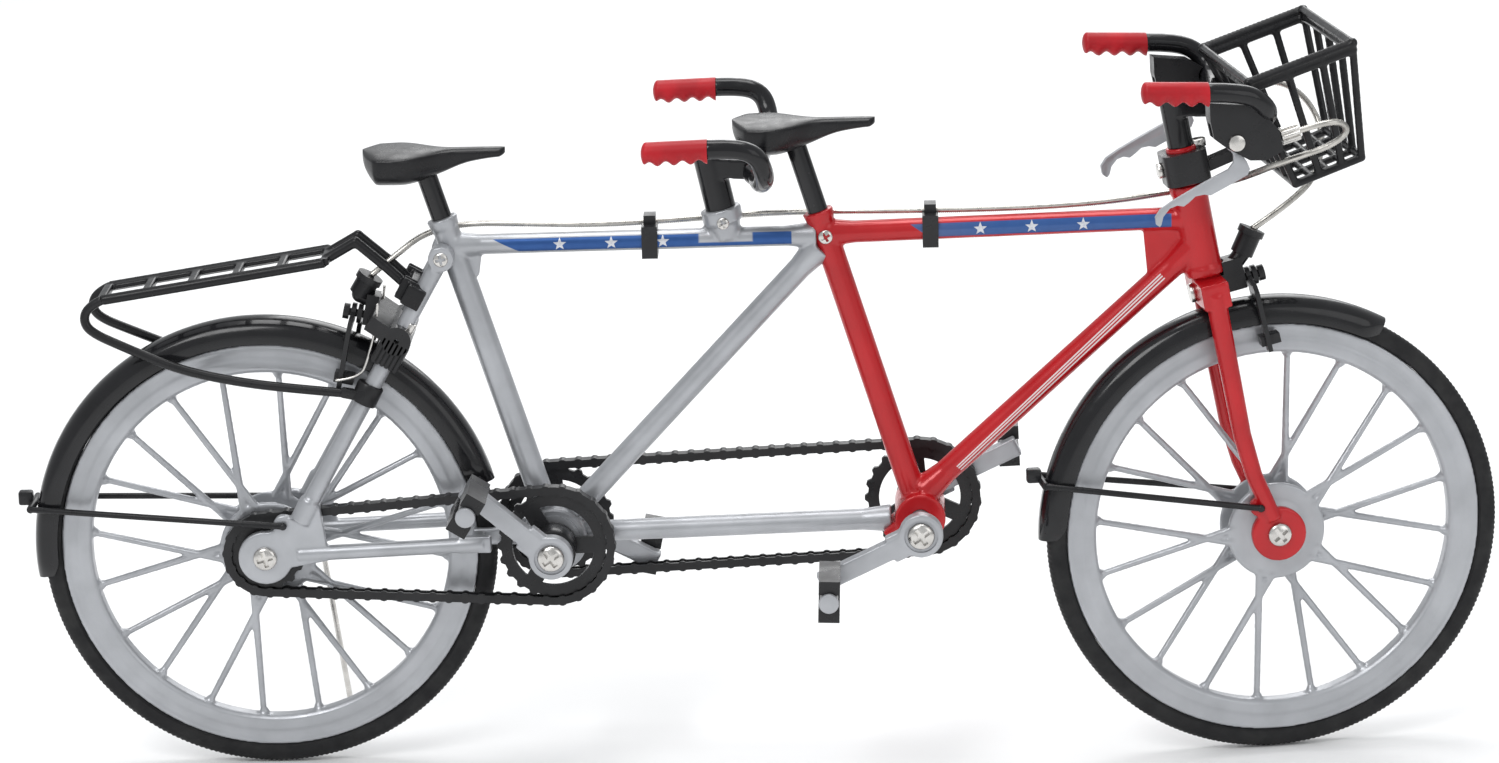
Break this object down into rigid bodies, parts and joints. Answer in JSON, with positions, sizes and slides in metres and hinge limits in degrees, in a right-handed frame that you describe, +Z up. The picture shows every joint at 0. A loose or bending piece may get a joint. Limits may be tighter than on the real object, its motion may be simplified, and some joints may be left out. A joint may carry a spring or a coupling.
{
  "type": "tandem bicycle model",
  "caption": "Two-seat bicycle display model with steering fork, spoked wheels, linked cranks and chains, rim brakes with levers, wire basket, rear rack, fenders and kickstand.",
  "frame": {"origin": "on the ground under the middle of the bicycle, where both tyres stand", "axes": "+X is the way the bicycle rides, +Y is the rider's left, +Z is up"},
  "size_m": [0.2271, 0.0495, 0.1133],
  "materials": {
    "silver_paint": "metallic silver paint on a zinc casting",
    "red_paint": "gloss red paint on a zinc casting",
    "black_paint": "gloss black paint",
    "black_plastic": "satin black moulding",
    "red_plastic": "soft red moulding",
    "tyre_black": "matt black",
    "bright_steel": "bright zinc plate"
  },
  "bodies": {
    "frame": {"head_tube": "red_paint", "front_top_tube": "red_paint", "rear_top_tube": "silver_paint", "front_seat_tube": "red_paint", "rear_seat_tube": "silver_paint", "down_tube": "red_paint", "boom_tube": "silver_paint", "diagonal_tube": "silver_paint", "crank_shells": "silver_paint", "right_stays": "silver_paint", "left_stays": "silver_paint", "stoker_handlebar": "black_paint", "stoker_grips": "red_plastic", "rear_rack": "black_paint", "rack_struts": "black_paint", "rear_fender": "black_plastic", "rear_fender_stays": "black_plastic", "drive_chain": "black_plastic", "timing_chain": "black_plastic", "cable_clips": "black_plastic", "rear_brake_cable": "bright_steel", "rear_brake_body": "black_plastic", "frame_fasteners": "bright_steel"},
    "fork": {"fork": "red_paint", "headset_clamp": "black_paint", "handlebar": "black_paint", "handlebar_grips": "red_plastic", "lever_housings": "black_plastic", "cable_ferrules": "bright_steel", "basket": "black_paint", "front_fender": "black_plastic", "front_fender_stays": "black_plastic", "front_brake_body": "black_plastic", "front_brake_cable": "bright_steel", "fork_fasteners": "bright_steel"},
    "front_wheel": {"front_wheel": "silver_paint", "front_tyre": "tyre_black"},
    "rear_wheel": {"rear_wheel": "silver_paint", "rear_tyre": "tyre_black", "rear_cog": "black_plastic"},
    "rear_crank": {"rear_crankset": "silver_paint", "drive_chainring": "black_plastic", "rear_timing_ring": "black_plastic"},
    "front_crank": {"front_crankset": "silver_paint", "front_timing_ring": "black_plastic"},
    "rear_right_pedal": {"rear_right_pedal": "black_plastic"},
    "rear_left_pedal": {"rear_left_pedal": "black_plastic"},
    "front_right_pedal": {"front_right_pedal": "black_plastic"},
    "front_left_pedal": {"front_left_pedal": "black_plastic"},
    "right_lever": {"right_brake_lever": "bright_steel"},
    "left_lever": {"left_brake_lever": "bright_steel"},
    "front_brake_right_arm": {"front_brake_right_arm": "black_plastic"},
    "front_brake_left_arm": {"front_brake_left_arm": "black_plastic"},
    "rear_brake_right_arm": {"rear_brake_right_arm": "black_plastic"},
    "rear_brake_left_arm": {"rear_brake_left_arm": "black_plastic"},
    "kickstand": {"kickstand": "bright_steel"},
    "front_seat": {"front_saddle": "black_plastic", "front_seatpost": "black_paint"},
    "rear_seat": {"rear_saddle": "black_plastic", "rear_seatpost": "black_paint"}
  },
  "joints": [
    {"name": "steering", "type": "hinge", "parent": "frame", "child": "fork", "pos_m": [0.0686, 0, 0.075], "axis": [-0.1822, 0, 0.9833], "range_deg": [-53.65, 36.35], "deforming": ["rear_brake_cable"]},
    {"name": "front_wheel_spin", "type": "hinge", "parent": "fork", "child": "front_wheel", "pos_m": [0.07877, 0.00041, 0.03499], "axis": [-0.1479, 0.9886, -0.0274], "continuous": true},
    {"name": "rear_wheel_spin", "type": "hinge", "parent": "frame", "child": "rear_wheel", "pos_m": [-0.075, 0, 0.035], "axis": [0, 1, 0], "continuous": true},
    {"name": "rear_crank_spin", "type": "hinge", "parent": "frame", "child": "rear_crank", "pos_m": [-0.0311, 0, 0.0356], "axis": [0, 1, 0], "continuous": true},
    {"name": "front_crank_spin", "type": "hinge", "parent": "frame", "child": "front_crank", "pos_m": [0.025, 0, 0.0381], "axis": [0, 1, 0], "continuous": true},
    {"name": "rear_right_pedal_spin", "type": "hinge", "parent": "rear_crank", "child": "rear_right_pedal", "pos_m": [-0.0428, 0, 0.04577], "axis": [0, 1, 0], "continuous": true},
    {"name": "rear_left_pedal_spin", "type": "hinge", "parent": "rear_crank", "child": "rear_left_pedal", "pos_m": [-0.01741, 0, 0.02832], "axis": [0, 1, 0], "continuous": true},
    {"name": "front_right_pedal_spin", "type": "hinge", "parent": "front_crank", "child": "front_right_pedal", "pos_m": [0.01101, 0, 0.03143], "axis": [0, 1, 0], "continuous": true},
    {"name": "front_left_pedal_spin", "type": "hinge", "parent": "front_crank", "child": "front_left_pedal", "pos_m": [0.03899, 0, 0.04477], "axis": [0, 1, 0], "continuous": true},
    {"name": "right_lever_squeeze", "type": "hinge", "parent": "fork", "child": "right_lever", "pos_m": [0.07161, -0.0191, 0.09964], "axis": [-0.1479, 0.9886, -0.0274], "range_deg": [0, 20]},
    {"name": "left_lever_squeeze", "type": "hinge", "parent": "fork", "child": "left_lever", "pos_m": [0.06569, 0.02045, 0.09854], "axis": [-0.1479, 0.9886, -0.0274], "range_deg": [0, 20]},
    {"name": "front_brake_right_arm_close", "type": "hinge", "parent": "fork", "child": "front_brake_right_arm", "pos_m": [0.07552, 0.00102, 0.07439], "axis": [0.9632, 0.1503, 0.2229], "range_deg": [0, 1.8]},
    {"name": "front_brake_left_arm_close", "type": "hinge", "parent": "fork", "child": "front_brake_left_arm", "pos_m": [0.07552, 0.00102, 0.07439], "axis": [-0.9632, -0.1503, -0.2229], "range_deg": [0, 1.8]},
    {"name": "rear_brake_right_arm_close", "type": "hinge", "parent": "frame", "child": "rear_brake_right_arm", "pos_m": [-0.0601, 0, 0.0714], "axis": [0.977, 0, -0.213], "range_deg": [0, 1.8]},
    {"name": "rear_brake_left_arm_close", "type": "hinge", "parent": "frame", "child": "rear_brake_left_arm", "pos_m": [-0.0601, 0, 0.0714], "axis": [-0.977, 0, 0.213], "range_deg": [0, 1.8]},
    {"name": "kickstand_swing", "type": "hinge", "parent": "frame", "child": "kickstand", "pos_m": [-0.0686, 0.009, 0.0342], "axis": [0, 1, 0], "range_deg": [0, 95]},
    {"name": "front_seat_height", "type": "slide", "parent": "frame", "child": "front_seat", "axis": [-0.294, 0, 0.9558], "range_m": [0, 0.006]},
    {"name": "rear_seat_height", "type": "slide", "parent": "frame", "child": "rear_seat", "axis": [-0.294, 0, 0.9558], "range_m": [-0.004, 0.006]}
  ],
  "couplings": [
    {"joint": "rear_crank_spin", "follows": "rear_wheel_spin", "ratio": 0.68182},
    {"joint": "front_crank_spin", "follows": "rear_wheel_spin", "ratio": 0.68182},
    {"joint": "front_brake_right_arm_close", "follows": "left_lever_squeeze", "ratio": 0.09},
    {"joint": "front_brake_left_arm_close", "follows": "left_lever_squeeze", "ratio": 0.09},
    {"joint": "rear_brake_right_arm_close", "follows": "right_lever_squeeze", "ratio": 0.09},
    {"joint": "rear_brake_left_arm_close", "follows": "right_lever_squeeze", "ratio": 0.09}
  ]
}
